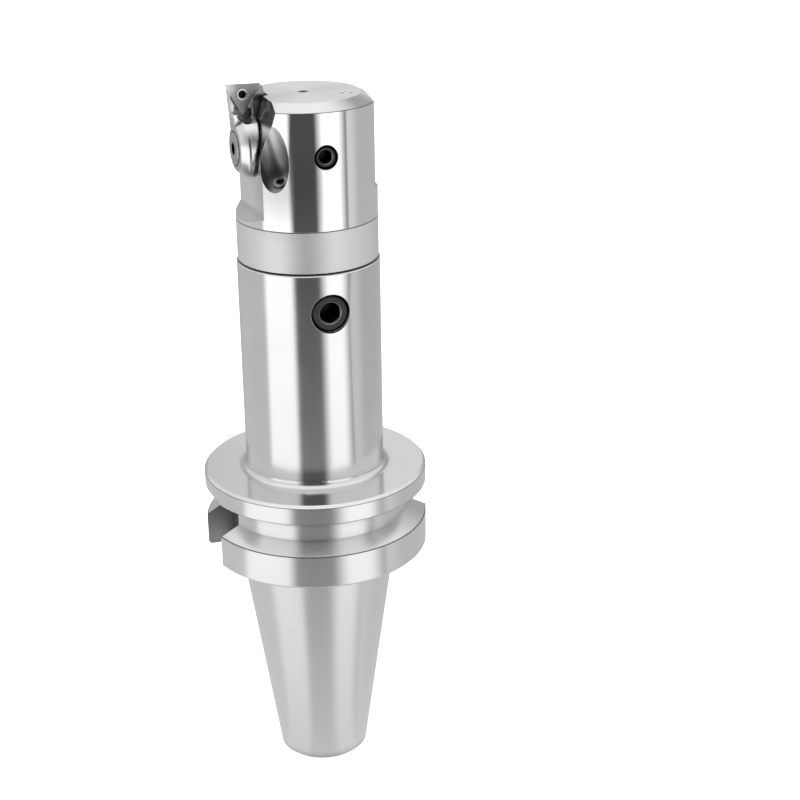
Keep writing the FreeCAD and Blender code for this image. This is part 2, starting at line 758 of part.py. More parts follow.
def make_insert_screw():
    x, z = insert_centre()
    gap = insert_pocket_gap
    head = insert_screw_head_diameter / 2 - gap
    shank = insert_screw_diameter / 2
    head_y = insert_hole_mouth_diameter / 2 - insert_screw_head_diameter / 2
    end_y = insert_thickness + insert_screw_reach
    screw = turned_y([
        (head_y, 0),
        (head_y, head),
        (head_y + head - shank, shank),
        (end_y, shank),
        (end_y, 0),
    ], x=x, z=z)
    for step in range(6):
        angle = math.radians(60 * step)
        lobe_x = x + insert_screw_lobe_circle * math.cos(angle)
        lobe_z = z + insert_screw_lobe_circle * math.sin(angle)
        screw = screw.cut(bar_y(insert_screw_lobe_radius, head_y, head_y + insert_screw_socket_depth,
                                x=lobe_x, z=lobe_z))
    return screw.cut(bar_y(insert_screw_lobe_circle, head_y, head_y + insert_screw_socket_depth, x=x, z=z))


def rounded_circle(shape, x, radius, fillet):
    """Shape with its circular edge at X and radius about the slide's axis rounded off."""
    circle = [edge for edge in shape.Edges
              if abs(edge.BoundBox.XMin - x) < TOUCH
              and abs(edge.BoundBox.XMax - x) < TOUCH
              and abs(edge.BoundBox.YMax - radius) < TOUCH]
    return shape.makeFillet(fillet, circle)


def make_insert_holder():
    boss = holder_boss_diameter / 2
    shoulder = holder_shoulder
    horn_step_z = head_top_z - horn_pocket_depth + horn_step_gap
    holder = turned_x([
        (holder_face_x, 0),
        (holder_face_x, boss - shoulder),
        (holder_face_x + shoulder, boss),
        (holder_back_x, boss),
        (holder_back_x, 0),
    ])
    holder = rounded_circle(holder, holder_face_x, boss - shoulder, holder_face_fillet)
    holder = rounded_circle(holder, holder_face_x + shoulder, boss, holder_rim_fillet)

    # Neck: the boss carried on inwards, above, as far as the head's relief leaves room
    neck = prism_y([
        (-relief_top_distance - neck_gap, head_top_z),
        (-insert_flat_distance - neck_gap, head_top_z - relief_length),
        (holder_back_x, head_top_z - relief_length),
        (holder_back_x, head_top_z),
    ], -boss, 0)
    neck = neck.common(bar_x(boss, holder_back_x, 0))
    neck = neck.cut(bar_x(slide_radius + neck_slide_gap, holder_back_x, 0))
    neck = neck.cut(block(holder_back_x, 0, -horn_pocket_front - neck_front_gap, 0, 0, horn_step_z))
    holder = holder.fuse(neck)

    # Horn: rises from the boss and reaches in over the head, above its pocket
    horn_top_z = insert_tip_z - horn_top_gap
    horn = prism_y([
        (-tip_radius, slide_z),
        (-tip_radius, horn_top_z),
        (-horn_inner_distance, horn_top_z),
        (-horn_inner_distance, horn_step_z),
        (holder_back_x, horn_step_z),
        (holder_back_x, slide_z),
    ], -horn_front, horn_back)
    corner = horn_corner_chamfer
    section = [
        V(-THROUGH, -horn_front, 0),
        V(-THROUGH, -horn_front, horn_top_z - corner),
        V(-THROUGH, corner - horn_front, horn_top_z),
        V(-THROUGH, horn_back - corner, horn_top_z),
        V(-THROUGH, horn_back, horn_top_z - corner),
        V(-THROUGH, horn_back, 0),
    ]
    end_view = Part.Face(Part.makePolygon(section + section[:1])).extrude(V(THROUGH, 0, 0))
    horn = horn.common(end_view)
    horn = horn.common(block(holder_face_x, THROUGH, -THROUGH, THROUGH, 0, slide_z + THROUGH))
    flank_radius = tip_radius - holder_bore_relief
    drawn_in = (insert_tip_z - slide_z) * math.tan(math.radians(horn_flank_lean))
    horn = horn.common(turned_z([
        (0, slide_z),
        (flank_radius - drawn_in, slide_z),
        (flank_radius, insert_tip_z),
        (0, insert_tip_z),
    ]))
    holder = holder.common(bar_z(flank_radius, 0, insert_tip_z))
    holder = holder.fuse(horn).removeSplitter()

    # Seat for the insert: open on the cutting side, walled along the insert's inner edge
    lower, inner = insert_corners(-insert_pocket_gap)[1:]
    up = (inner[0] - lower[0], inner[1] - lower[1])
    gullet_z = head_top_z - gullet_drop
    holder = holder.cut(prism_y([
        (-gullet_distance, gullet_z),
        lower,
        (inner[0] + up[0], inner[1] + up[1]),
        (-THROUGH, inner[1] + up[1]),
        (-THROUGH, gullet_z),
    ], -THROUGH, insert_thickness))
    holder = holder.cut(bar_y(gullet_radius, -THROUGH, gullet_depth, x=-gullet_distance, z=gullet_z))
    holder = holder.cut(block(-gullet_distance - gullet_radius, -gullet_distance + gullet_radius,
                              -THROUGH, gullet_depth, gullet_z, lower[1] + gullet_radius))
    seat_x, seat_z = insert_centre()
    holder = holder.cut(bar_y(insert_screw_diameter / 2, 0, THROUGH, x=seat_x, z=seat_z))

    # Countersunk hole for the holder's screw, and the slot for the slide's tongue
    head = holder_screw_head_diameter / 2
    shank = holder_screw_diameter / 2
    rim_end_x = holder_face_x - holder_screw_stand + holder_screw_rim
    holder = holder.cut(turned_x([
        (holder_face_x, 0),
        (holder_face_x, head + holder_screw_gap),
        (rim_end_x, head + holder_screw_gap),
        (rim_end_x + head + holder_screw_gap - shank, shank),
        (holder_back_x, shank),
        (holder_back_x, 0),
    ]))
    half = slide_tongue_width / 2 + slide_tongue_clearance
    top = slide_tongue_height + slide_tongue_clearance
    return holder.cut(block(holder_back_x - top, holder_back_x, -half, half,
                            slide_z - slide_radius - slide_tongue_clearance,
                            slide_z + slide_radius + slide_tongue_clearance))


def make_holder_screw():
    head = holder_screw_head_diameter / 2
    shank = holder_screw_diameter / 2
    face_x = holder_face_x - holder_screw_stand
    edge = holder_screw_edge_chamfer
    screw = turned_x([
        (face_x, 0),
        (face_x, head - edge),
        (face_x + edge, head),
        (face_x + holder_screw_rim, head),
        (face_x + holder_screw_rim + head - shank, shank),
        (face_x + holder_screw_length, shank),
        (face_x + holder_screw_length, 0),
    ])
    return screw.cut(hex_socket(holder_screw_socket_width, holder_screw_socket_depth,
                                V(face_x, 0, slide_z), ALONG_X))


def make_coolant_nozzle():
    near = scoop_seat_depth - nozzle_stand
    nozzle = scoop_bar(nozzle_diameter / 2, near, near + nozzle_length)
    nozzle = nozzle.cut(scoop_bar(nozzle_jet_diameter / 2, near, near + nozzle_length))
    start, outwards = scoop_line()
    side = outwards.cross(ALONG_Z).normalize()
    mouth = start - outwards * near
    return nozzle.cut(hex_socket(nozzle_socket_width, nozzle_socket_depth, mouth, outwards * -1, side))


def make_plug_ball():
    radius = plug_ball_diameter / 2
    centre_z = head_top_z + plug_ball_stand - radius
    return Part.makeSphere(radius, V(plug_ball_distance, -plug_ball_offset, centre_z))


PIECES = {
    "taper_arbor": make_taper_arbor,
    "clamp_screw": make_clamp_screw,
    "drive_dowel": make_drive_dowel,
    "head_body": make_head_body,
    "slide_bar": make_slide_bar,
    "feed_nut": make_feed_nut,
    "feed_screw": make_feed_screw,
    "thrust_washer": make_thrust_washer,
    "wave_washer": make_wave_washer,
    "retaining_nut": make_retaining_nut,
    "dial": make_dial,
    "dial_seal": make_dial_seal,
    "slide_seal": make_slide_seal,
    "lock_screw": make_lock_screw,
    "pressure_pad": make_pressure_pad,
    "key_screw": make_key_screw,
    "insert_holder": make_insert_holder,
    "holder_screw": make_holder_screw,
    "cutting_insert": make_cutting_insert,
    "insert_screw": make_insert_screw,
    "coolant_nozzle": make_coolant_nozzle,
    "plug_ball": make_plug_ball,
}

os.makedirs("parts", exist_ok=True)
for name, make in PIECES.items():
    shape = make()
    if shape.ShapeType == "Compound" and len(shape.Solids) == 1:
        shape = shape.Solids[0]
    print(name, len(shape.Solids), "solid", shape.isValid(), round(shape.Volume, 1))
    shape.exportStep("parts/" + name + ".step")
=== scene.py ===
import bmesh
import bpy
import math
from mathutils import Matrix, Vector


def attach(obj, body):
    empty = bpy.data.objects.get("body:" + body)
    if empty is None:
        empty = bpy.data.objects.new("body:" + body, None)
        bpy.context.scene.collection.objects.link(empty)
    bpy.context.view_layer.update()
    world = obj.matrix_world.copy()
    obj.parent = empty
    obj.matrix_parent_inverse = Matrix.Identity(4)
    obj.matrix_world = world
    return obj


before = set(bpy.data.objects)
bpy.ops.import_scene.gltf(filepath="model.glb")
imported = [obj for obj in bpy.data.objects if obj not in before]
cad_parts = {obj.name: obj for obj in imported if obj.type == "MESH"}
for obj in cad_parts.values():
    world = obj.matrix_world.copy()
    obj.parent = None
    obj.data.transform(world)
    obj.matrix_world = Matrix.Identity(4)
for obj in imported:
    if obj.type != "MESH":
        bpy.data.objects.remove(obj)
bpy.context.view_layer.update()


# Taper arbor: one bar of alloy steel, turned, hardened, and then ground on its taper, flange and
# shank. The drive slots are milled, and the end that takes the pull stud is bored and tapped.
# Grinding leaves fine rings round the axis, which blur a reflection along the bar only.
arbor_steel_colour = (0.76, 0.76, 0.755)
small_end_height = -0.001
gauge_height = 0.0654
groove_low_edge = 0.07701
groove_top_edge = 0.08699
flange_bevel_foot = 0.0916
flange_top_height = 0.0924
flange_rim_inside = 0.0309
joint_height = 0.1534
drive_slot_out = 0.0286
drive_slot_height = 0.0765
drive_slot_half_size = (0.0063, 0.0081, 0.0105)
clamp_screw_height = 0.1424
clamp_hole_out = 0.0155
clamp_hole_radius = 0.0053
towards_front = (0, -1, 0)


def plug(tree, value, socket):
    """Links a socket to another, or gives it a plain value."""
    if isinstance(value, bpy.types.NodeSocket):
        tree.links.new(value, socket)
    else:
        socket.default_value = value


def shader_node(tree, kind, settings=None, inputs=None):
    """A node with its settings and its inputs, by name or number."""
    node = tree.nodes.new(kind)
    for name, value in (settings or {}).items():
        setattr(node, name, value)
    for name, value in (inputs or {}).items():
        plug(tree, value, node.inputs[name])
    return node


def sums(tree, operation, *values):
    """The result of one sum on numbers or sockets."""
    node = shader_node(tree, "ShaderNodeMath", {"operation": operation}, dict(enumerate(values)))
    return node.outputs[0]


def vector_sums(tree, operation, *vectors, output=0):
    """One output of a sum on vectors."""
    node = shader_node(tree, "ShaderNodeVectorMath", {"operation": operation}, dict(enumerate(vectors)))
    return node.outputs[output]


def spread(tree, value, low, high, new_low, new_high, fall="LINEAR"):
    """A number carried from one range to another, and kept inside it."""
    node = shader_node(tree, "ShaderNodeMapRange", {"interpolation_type": fall}, {
        "Value": value, "From Min": low, "From Max": high, "To Min": new_low, "To Max": new_high})
    return node.outputs[0]


def noise(tree, place, scale, detail, roughness=0.5):
    """A pattern of soft spots, as one number."""
    node = shader_node(tree, "ShaderNodeTexNoise", None, {
        "Vector": place, "Scale": scale, "Detail": detail, "Roughness": roughness})
    return node.outputs[0]


def opaque(colour, share=1.0):
    """A colour, or that share of it, as a colour socket takes it."""
    return tuple(part * share for part in colour) + (1.0,)


def mixed_colour(tree, share, first, second):
    """A colour that goes from the first to the second as the share goes from 0 to 1."""
    node = shader_node(tree, "ShaderNodeMix", {"data_type": "RGBA"}, {0: share, 6: first, 7: second})
    return node.outputs[2]


def inside_ring(tree, surface, low, high, inner_radius=0.0):
    """1 where the surface is in a range of height and outside a radius, and 0 elsewhere."""
    above = sums(tree, "GREATER_THAN", surface["height"], low)
    below = sums(tree, "LESS_THAN", surface["height"], high)
    outside = sums(tree, "GREATER_THAN", surface["radius"], inner_radius)
    return sums(tree, "MULTIPLY", sums(tree, "MULTIPLY", above, below), outside)


def inside_block(tree, surface, centre, half_size):
    """1 where the surface is in a box, and 0 elsewhere."""
    away = vector_sums(tree, "SUBTRACT", surface["place"], centre)
    share = vector_sums(tree, "ABSOLUTE", vector_sums(tree, "DIVIDE", away, half_size))
    sides = shader_node(tree, "ShaderNodeSeparateXYZ", None, {0: share}).outputs
    widest = sums(tree, "MAXIMUM", sums(tree, "MAXIMUM", sides[0], sides[1]), sides[2])
    return sums(tree, "LESS_THAN", widest, 1.0)


def inside_bore(tree, surface, start, direction, radius, length):
    """1 where the surface is in a round space along a line, and 0 elsewhere."""
    direction = tuple(Vector(direction).normalized())
    away = vector_sums(tree, "SUBTRACT", surface["place"], start)
    along = vector_sums(tree, "DOT_PRODUCT", away, direction, output="Value")
    across = vector_sums(tree, "CROSS_PRODUCT", away, direction)
    off_line = vector_sums(tree, "LENGTH", across, output="Value")
    past_start = sums(tree, "GREATER_THAN", along, 0.0)
    before_end = sums(tree, "LESS_THAN", along, length)
    within = sums(tree, "MULTIPLY", past_start, before_end)
    return sums(tree, "MULTIPLY", within, sums(tree, "LESS_THAN", off_line, radius))


def blank_finish(name):
    """A new material, its node tree and its shader."""
    material = bpy.data.materials.new(name)
    material.use_nodes = True
    return material, material.node_tree, material.node_tree.nodes["Principled BSDF"]


def machined(name, colour, roughness, axis="Z", centre=(0, 0, 0), ring_pitch=0.0003, ring_height=0.0000012,
             stretch=0.6, edge=0.00012, stain=0.05, painted_shade_share=0.3, patches=()):
    """Bare metal with turning rings round a line along one axis, faint stains and broken edges.

    Corners and deep places get painted shade from an occlusion node, down to a share that one
    argument sets. Each patch says where it is, and has a roughness of its own and a tone, which its
    colour is multiplied by. Many of these tones are painted shade or a painted highlight.
    """
    material, tree, shader = blank_finish(name)
    shader.inputs["Metallic"].default_value = 1.0
    shader.inputs["Anisotropic"].default_value = stretch
    shader.inputs["Anisotropic Rotation"].default_value = 0.25
    source = shader_node(tree, "ShaderNodeTexCoord")
    place = source.outputs["Object"]
    local = vector_sums(tree, "SUBTRACT", place, centre)
    along_line = [float(axis == letter) for letter in "XYZ"]
    across_line = [1.0 - part for part in along_line]
    flat = vector_sums(tree, "MULTIPLY", local, across_line)
    radius = vector_sums(tree, "LENGTH", flat, output="Value")
    height = vector_sums(tree, "DOT_PRODUCT", local, along_line, output="Value")
    surface = {"place": place, "normal": source.outputs["Normal"], "radius": radius, "height": height}
    ring_place = shader_node(tree, "ShaderNodeCombineXYZ", None, {0: radius, 1: height}).outputs[0]
    rings = noise(tree, ring_place, 1 / ring_pitch, 2.0, 0.6)
    cloud = noise(tree, place, 55.0, 5.0, 0.62)
    rubbed = noise(tree, place, 620.0, 3.0, 0.7)
    # Painted shade: an occlusion node darkens the colour in corners and recesses.
    deep = shader_node(tree, "ShaderNodeAmbientOcclusion", {"samples": 6}, {"Distance": 0.004}).outputs["AO"]
    left = spread(tree, deep, 0.25, 0.85, painted_shade_share, 1.0)
    base = roughness
    for inside, numbers, patch_roughness, tone in patches:
        share = inside(tree, surface, *numbers)
        base = sums(tree, "MULTIPLY_ADD", share, patch_roughness - roughness, base)
        left = sums(tree, "MULTIPLY", left, sums(tree, "MULTIPLY_ADD", share, tone - 1.0, 1.0))
    ring_part = spread(tree, rings, 0.3, 0.7, -0.015, 0.015)
    cloud_part = spread(tree, cloud, 0.35, 0.65, -0.012, 0.02)
    rubbed_part = spread(tree, rubbed, 0.55, 0.75, 0.0, 0.015)
    uneven = sums(tree, "ADD", ring_part, sums(tree, "ADD", cloud_part, rubbed_part))
    whole = shader_node(tree, "ShaderNodeMath", {"operation": "ADD", "use_clamp": True}, {0: base, 1: uneven})
    plug(tree, whole.outputs[0], shader.inputs["Roughness"])
    stains = spread(tree, cloud, 0.3, 0.7, 0.0, 1.0)
    metal = mixed_colour(tree, stains, opaque(colour, 1 - stain), opaque(colour))
    toned = shader_node(tree, "ShaderNodeVectorMath", {"operation": "SCALE"}, {0: metal, "Scale": left})
    plug(tree, toned.outputs[0], shader.inputs["Base Color"])
    broken_edge = shader_node(tree, "ShaderNodeBevel", {"samples": 6}, {"Radius": edge}).outputs[0]
    relief = shader_node(tree, "ShaderNodeBump", None, {
        "Strength": 1.0, "Distance": ring_height, "Height": rings, "Normal": broken_edge})
    plug(tree, relief.outputs[0], shader.inputs["Normal"])
    tangent = shader_node(tree, "ShaderNodeTangent", {"direction_type": "RADIAL", "axis": axis})
    plug(tree, tangent.outputs[0], shader.inputs["Tangent"])
    return material


def finish_node(name, material):
    """Gives a solid of the frame its material."""
    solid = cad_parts[name]
    if not solid.material_slots:
        solid.data.materials.append(material)
    for held in solid.material_slots:
        held.material = material


# Painted dark lines at the foot of the flange's top bevel and at the edges of its groove stand for the dark
# reflections of those edges. The drive slots and the clamp screw's hole get painted shade.
ground_arbor = machined("ground arbor steel", arbor_steel_colour, 0.17, ring_height=0.0000006, patches=(
    (inside_ring, (small_end_height, gauge_height), 0.27, 1.0),
    (inside_ring, (gauge_height, flange_top_height - 0.0002), 0.22, 1.02),
    (inside_ring, (flange_bevel_foot - 0.0001, flange_bevel_foot + 0.00012, flange_rim_inside), 0.22, 0.4),
    (inside_ring, (groove_top_edge - 0.00014, groove_top_edge + 0.0001, flange_rim_inside), 0.22, 0.35),
    (inside_ring, (groove_low_edge - 0.0001, groove_low_edge + 0.00016, flange_rim_inside), 0.22, 0.25),
    (inside_ring, (flange_top_height - 0.0002, flange_top_height + 0.0002), 0.14, 1.0),
    (inside_ring, (joint_height - 0.0003, joint_height + 0.0001), 0.3, 0.15),
    (inside_block, ((-drive_slot_out, 0, drive_slot_height), drive_slot_half_size), 0.3, 0.5),
    (inside_block, ((drive_slot_out, 0, drive_slot_height), drive_slot_half_size), 0.3, 0.5),
    (inside_bore, ((0, -clamp_hole_out, clamp_screw_height), towards_front, clamp_hole_radius, 0.006),
     0.3, 0.12),
))
finish_node("taper_arbor", ground_arbor)


# Clamp screw: a black oxide grub screw with a coned point, screwed in from the front. Its cone
# bears on a seat in the head's pin and draws the head down on the arbor's face.
black_oxide_colour = (0.055, 0.055, 0.057)
clamp_socket_radius = 0.00289
clamp_middle = (0, 0, clamp_screw_height)
screw_reach = 0.02
# How far the painted highlight round a socket and the painted shade inside it reach, as shares of the
# socket's radius.
rim_highlight_share = 1.1
socket_shade_share = 0.98


def oxide(name, middle, outward, socket_radius):
    """Black oxide on a turned screw along Y: thin and a little greasy, with a painted highlight round its
    socket and painted shade inside it.
    """
    return machined(name, black_oxide_colour, 0.3, "Y", middle, ring_pitch=0.00045, ring_height=0.000004,
                    stretch=0.3, edge=0.0001, stain=0.45, patches=(
        # Painted highlight on a ring round the socket, and painted shade inside the socket.
        (inside_bore, (middle, outward, socket_radius * rim_highlight_share, screw_reach), 0.24, 4.0),
        (inside_bore, (middle, outward, socket_radius * socket_shade_share, screw_reach), 0.3, 0.1),
    ))


finish_node("clamp_screw", oxide("black oxide clamp screw", clamp_middle, towards_front, clamp_socket_radius))


# Drive dowel: a ground steel pin pressed into the arbor's face. It enters a hole in the head's
# foot and keeps the head from turning on its pin.
plain_steel_colour = (0.66, 0.66, 0.66)
finish_node("drive_dowel", machined("ground dowel steel", plain_steel_colour, 0.2))


# Head body: alloy steel, turned, bored across for the slide, and polished on its outside. The
# band at its foot is left satin between two fine grooves, and its pin goes down into the arbor.
head_steel_colour = (0.88, 0.88, 0.875)
band_top_height = 0.1648
bevel_foot_height = 0.196
bevel_foot_inside = 0.019
head_top_height = 0.1979
bevel_inside = 0.0152
slide_axis_height = 0.1844
centre_hole_floor = (0, 0, head_top_height - 0.004)
centre_hole_radius = 0.0013
lock_hole_start = (0, -0.0165, slide_axis_height)
lock_hole_radius = 0.00322
scoop_start = (-0.0101, -0.0112, 0.1768)
scoop_direction = (-0.33457, -0.37157, 0.86603)
scoop_radius = 0.00436
scoop_length = 0.0235
# The scoop gets painted shade, darkest round its foot.
scoop_foot = (-0.0095, -0.0125, 0.1765)
scoop_shade_reach = 0.0165
relief_direction = (-0.968, 0, 0.2502)
insert_ledge_direction = (-0.4648, 0, 0.8854)
dial_ledge_direction = (0.3764, 0, 0.9265)
dial_flat_middle = (0.016, 0, 0.1856)
dial_flat_half_size = (0.0001, 0.0112, 0.0124)
same_direction = 0.9995


def on_flat(tree, surface, direction):
    """1 on every flat that faces that way, and 0 elsewhere."""
    direction = tuple(Vector(direction).normalized())
    likeness = vector_sums(tree, "DOT_PRODUCT", surface["normal"], direction, output="Value")
    return sums(tree, "GREATER_THAN", likeness, same_direction)


def near_spot(tree, surface, centre, reach):
    """1 at a spot, falling off softly to 0 at its reach."""
    away = vector_sums(tree, "SUBTRACT", surface["place"], centre)
    distance = vector_sums(tree, "LENGTH", away, output="Value")
    return spread(tree, distance, 0.0, reach, 1.0, 0.0, fall="SMOOTHSTEP")


# Painted shade: dark lines at the band's top groove and at the bevel's foot, a darker bevel, the centre hole,
# the lock screw's hole, the scoop, darkest at its foot, the relief ramp and both ledges. The dial's flat is
# darker as well.
polished_head = machined("polished head steel", head_steel_colour, 0.085, ring_height=0.0000006, stretch=0.8,
                         painted_shade_share=0.45, patches=(
    (inside_ring, (joint_height, band_top_height), 0.7, 1.1),
    (inside_ring, (joint_height - 0.0001, joint_height + 0.00035), 0.4, 0.05),
    (inside_ring, (band_top_height - 0.0001, band_top_height + 0.0001), 0.3, 0.4),
    (inside_ring, (bevel_foot_height - 0.00012, bevel_foot_height + 0.00012, bevel_foot_inside), 0.3, 0.25),
    (inside_ring, (bevel_foot_height + 0.00012, head_top_height - 0.00005, bevel_inside), 0.12, 0.85),
    (inside_ring, (head_top_height - 0.00005, head_top_height + 0.001), 0.3, 0.95),
    (inside_bore, (centre_hole_floor, (0, 0, 1), centre_hole_radius, 0.01), 0.3, 0.2),
    (inside_bore, (lock_hole_start, towards_front, lock_hole_radius, 0.004), 0.3, 0.06),
    (inside_bore, (scoop_start, scoop_direction, scoop_radius, scoop_length), 0.3, 0.8),
    (near_spot, (scoop_foot, scoop_shade_reach), 0.2, 0.58),
    (on_flat, (relief_direction,), 0.2, 0.65),
    (on_flat, (insert_ledge_direction,), 0.3, 0.8),
    (inside_block, (dial_flat_middle, dial_flat_half_size), 0.3, 0.6),
    (on_flat, (dial_ledge_direction,), 0.3, 0.3),
))
finish_node("head_body", polished_head)


# Slide bar: a hardened and ground steel bar that runs across the head and carries the insert's
# holder. A flat takes the lock's pad and a slot takes the key.
slide_middle = (0, 0, slide_axis_height)
slide_steel_colour = (0.72, 0.72, 0.72)
finish_node("slide_bar", machined("ground slide steel", slide_steel_colour, 0.16, "X", slide_middle))


# Feed nut: a bronze bush pressed into the rear of the hollow slide and threaded for the fine
# feed screw.
bronze_colour = (0.62, 0.4, 0.2)
finish_node("feed_nut", machined("bearing bronze", bronze_colour, 0.28, "X", slide_middle, stain=0.2))


# Feed screw: turned and thread-ground steel. Its collar is held in the head, and its end comes
# out through the dial with a hexagon socket for the key.
towards_dial = (1, 0, 0)
feed_socket_floor = (0.0143, 0, slide_axis_height)
feed_socket_radius = 0.00205
# Painted shade darkens the inside of its socket.
turned_screw = machined("turned feed screw steel", plain_steel_colour, 0.22, "X", slide_middle, patches=(
    (inside_bore, (feed_socket_floor, towards_dial, feed_socket_radius, 0.005), 0.4, 0.03),
))
finish_node("feed_screw", turned_screw)


# Thrust washer, wave washer and retaining nut: they hold the feed screw's collar without play.
# The flat washer and the nut are plain machined steel, and the wave washer is oiled spring steel.
spring_steel_colour = (0.42, 0.42, 0.45)
finish_node("thrust_washer", machined("lapped washer steel", plain_steel_colour, 0.24, "X", slide_middle))
finish_node("wave_washer", machined("oiled spring steel", spring_steel_colour, 0.3, "X", slide_middle,
                                    stain=0.3))
finish_node("retaining_nut", machined("turned nut steel", plain_steel_colour, 0.27, "X", slide_middle))


# Dial: a low cone of turned brass with satin chrome, fixed on the end of the feed screw. It turns
# with the screw in a round pocket of the head's flat.
dial_metal_colour = (0.84, 0.84, 0.835)
dial_rim_x = 0.0159
dial_rim_radius = 0.0101
dial_crown_x = 0.018
dial_crown_radius = 0.0034
finish_node("dial", machined("satin chrome dial", dial_metal_colour, 0.26, "X", slide_middle, stretch=0.75))


# Dial marks: fifty lines cut into the cone from its rim and filled with black paint, every fifth
# one long, and a figure at every tenth. One turn of the dial is fifty hundredths on diameter.
division_count = 50
long_mark_every = 5
figure_count = 5
mark_width = 0.00018
mark_lift = 0.00003
mark_body = 0.00008
mark_outer_radius = 0.00995
short_mark = 0.0021
long_mark = 0.0033
zero_mark_angle = 25.0
figure_height = 0.0023
figure_radius = 0.0062
digit_share = 0.7
digit_thinning = 0.012
black_paint_colour = (0.012, 0.012, 0.013)


def paint(name, colour, roughness):
    """Paint wiped into an engraved line, a little uneven in tone and gloss."""
    material, tree, shader = blank_finish(name)
    place = shader_node(tree, "ShaderNodeTexCoord").outputs["Object"]
    grain = noise(tree, place, 1800.0, 3.0)
    worn = [part * 2.2 + 0.02 for part in colour]
    tone = mixed_colour(tree, spread(tree, grain, 0.45, 0.75, 0.0, 1.0), opaque(colour), opaque(worn))
    plug(tree, tone, shader.inputs["Base Color"])
    plug(tree, spread(tree, grain, 0.3, 0.7, roughness - 0.08, roughness + 0.08), shader.inputs["Roughness"])
    return material


def add_bar(mesh, length, width):
    """A thin bar from the origin along X, in the plane of X and Y, standing up in Z."""
    size = Matrix.Diagonal((length, width, mark_body, 1))
    bar = bmesh.ops.create_cube(mesh, size=1, matrix=Matrix.Translation((length / 2, 0, 0)) @ size)
    return bar["verts"]


def add_figure(mesh, text, height):
    """A figure of that height, centred on the origin, in the plane of X and Y."""
    words = bpy.data.curves.new("figure " + text, "FONT")
    words.body = text
    words.size = height / digit_share
    words.extrude = mark_body / 2
    words.offset = -height * digit_thinning
    holder = bpy.data.objects.new("figure " + text, words)
    solid = bpy.data.meshes.new_from_object(holder)
    before = set(mesh.verts)
    mesh.from_mesh(solid)
    added = [vert for vert in mesh.verts if vert not in before]
    low = [min(vert.co[side] for vert in added) for side in (0, 1)]
    high = [max(vert.co[side] for vert in added) for side in (0, 1)]
    middle = Vector(((low[0] + high[0]) / 2, (low[1] + high[1]) / 2, 0))
    bmesh.ops.translate(mesh, verts=added, vec=-middle)
    bpy.data.objects.remove(holder)
    bpy.data.curves.remove(words)
    bpy.data.meshes.remove(solid)
    return added


def facing_out(angle, radius, turn):
    """Carries X and Y of a mark to the dial side: out at an angle from +Y, and turned in its own place."""
    face = Matrix(((0, 0, 1), (1, 0, 0), (0, 1, 0))).to_4x4()
    spin = Matrix.Rotation(math.radians(angle), 4, "Z")
    return face @ spin @ Matrix.Translation((radius, 0, 0)) @ Matrix.Rotation(math.radians(turn), 4, "Z")


def add_piece(name, mesh, material, body):
    """Makes a mesh piece of the object, painted or plated, that moves with a body."""
    bmesh.ops.recalc_face_normals(mesh, faces=mesh.faces)
    data = bpy.data.meshes.new(name)
    mesh.to_mesh(data)
    mesh.free()
    data.materials.append(material)
    piece = bpy.data.objects.new(name, data)
    bpy.context.scene.collection.objects.link(piece)
    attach(piece, body)


mark_paint = paint("black engraving paint", black_paint_colour, 0.45)
marks = bmesh.new()
for step in range(division_count):
    line = short_mark if step % long_mark_every else long_mark
    tick = add_bar(marks, line, mark_width)
    angle = zero_mark_angle + step * 360 / division_count
    bmesh.ops.transform(marks, verts=tick, matrix=facing_out(angle, mark_outer_radius - line, 0))
for figure in range(figure_count):
    shape = add_figure(marks, str(figure), figure_height)
    angle = zero_mark_angle + figure * 360 / figure_count
    bmesh.ops.transform(marks, verts=shape, matrix=facing_out(angle, figure_radius, 180))
dial_fall = (dial_crown_x - dial_rim_x) / (dial_rim_radius - dial_crown_radius)
for vert in marks.verts:
    out = math.hypot(vert.co.y, vert.co.z)
    vert.co.x += dial_crown_x - dial_fall * (out - dial_crown_radius) + mark_lift - mark_body / 2
bmesh.ops.translate(marks, verts=marks.verts, vec=slide_middle)
add_piece("dial_marks", marks, mark_paint, "dial_spindle")


# Marks on the dial's flat: a short fixed scale above the dial to read tenths of a division, and
# two arrows below it that show which way feeds out and in, with a plus and a minus. They are
# finely engraved and filled with thin grey paint.
flat_x = 0.016
fine_width = 0.00009
scale_start_angle = 49.0
scale_step_angle = 15.12
scale_inner_radius = 0.01065
scale_last_step = 5
scale_end_tick = 0.0014
scale_tick = 0.0009
scale_figure_height = 0.0017
scale_figure_radius = 0.0129
scale_figures = (("0", 44.5), ("5", 131.0))
arrow_radius = 0.0111
arrow_angles = ((246, 216), (300, 326))
arrow_steps = 16
barb_length = 0.0013
barb_angle = 26
sign_length = 0.0016
sign_strokes = ((-0.00885, -0.0094, 0), (-0.00805, -0.0102, 90), (0.0073, -0.0096, 0))
grey_paint_colour = (0.16, 0.16, 0.16)

